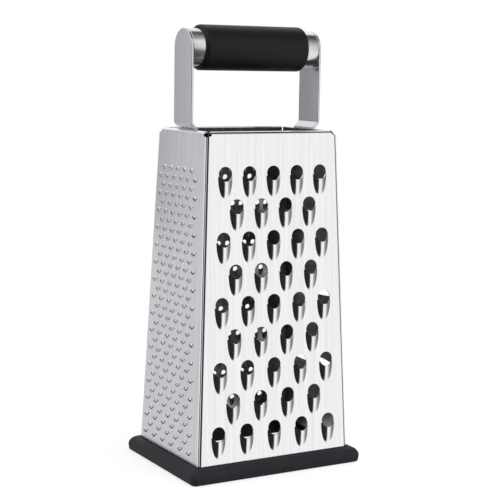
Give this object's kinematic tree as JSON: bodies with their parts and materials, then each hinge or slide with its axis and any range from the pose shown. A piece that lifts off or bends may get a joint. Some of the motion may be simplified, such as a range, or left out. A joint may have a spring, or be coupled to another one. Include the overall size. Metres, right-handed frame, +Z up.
{
  "type": "box grater",
  "caption": "Tapered sheet-steel box grater with punched teeth on every wall, a bridge handle with a dark sleeve grip and a soft dark base frame that pulls off.",
  "frame": {"origin": "on the table under the middle of the base frame", "axes": "+Z up to the handle, -Y out of the coarse shredding wall, -X out of the fine grating wall"},
  "size_m": [0.1124, 0.0872, 0.254],
  "materials": {
    "face_sheet": "bright, brushed up the wall",
    "side_sheet": "bright, brushed up the wall",
    "strap": "satin",
    "tube": "bright, brushed round the tube",
    "grip": "satin",
    "base": "matt"
  },
  "bodies": {
    "grater": {"front_wall": "face_sheet", "back_wall": "face_sheet", "left_wall": "side_sheet", "right_wall": "side_sheet", "left_upright": "strap", "right_upright": "strap", "handle_tube": "tube", "grip_sleeve": "grip"},
    "base": {"base_frame": "base"}
  },
  "joints": [
    {"name": "base_pull_off", "type": "slide", "parent": "grater", "child": "base", "axis": [0, 0, -1], "range_m": [0, 0.015]}
  ]
}
